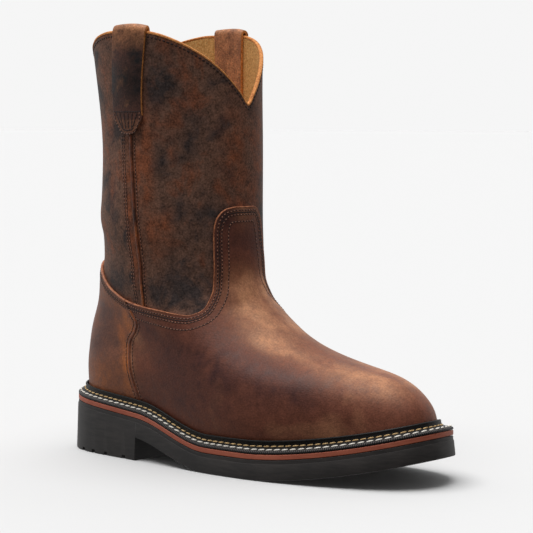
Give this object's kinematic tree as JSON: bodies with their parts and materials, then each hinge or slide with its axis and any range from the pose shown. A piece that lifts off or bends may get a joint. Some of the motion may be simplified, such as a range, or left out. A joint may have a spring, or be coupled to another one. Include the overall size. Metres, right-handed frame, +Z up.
{
  "type": "western work boot",
  "caption": "Pull-on western work boot, right foot: hollow leather shaft and foot, scalloped collar, pull straps, stitched welt and a block heel rubber sole.",
  "frame": {"origin": "on the floor, under the middle of the bounding box", "axes": "+X to the toe, +Y to the inner side of the foot, +Z up"},
  "size_m": [0.3104, 0.114, 0.3016],
  "materials": {
    "shaft_leather": "oiled, distressed dark brown",
    "vamp_leather": "oiled, distressed mid brown with a soft sheen",
    "counter_leather": "oiled, distressed brown",
    "piping_leather": "orange brown raw edged piping",
    "strap_leather": "oiled, near black brown",
    "black_rubber": "matt black",
    "brick_rubber": "matt brick red",
    "welt_leather": "black, knurled",
    "insole_leather": "tan leather board"
  },
  "bodies": {
    "root": {"upper": "shaft_leather", "vamp": "vamp_leather", "counter": "counter_leather", "shaft_seam_outer": "piping_leather", "shaft_seam_inner": "piping_leather", "foot_seam_outer": "piping_leather", "foot_seam_inner": "piping_leather", "pull_strap_outer": "strap_leather", "pull_strap_inner": "strap_leather", "outsole": "black_rubber", "midsole": "brick_rubber", "welt": "welt_leather", "insole": "insole_leather"}
  },
  "joints": []
}
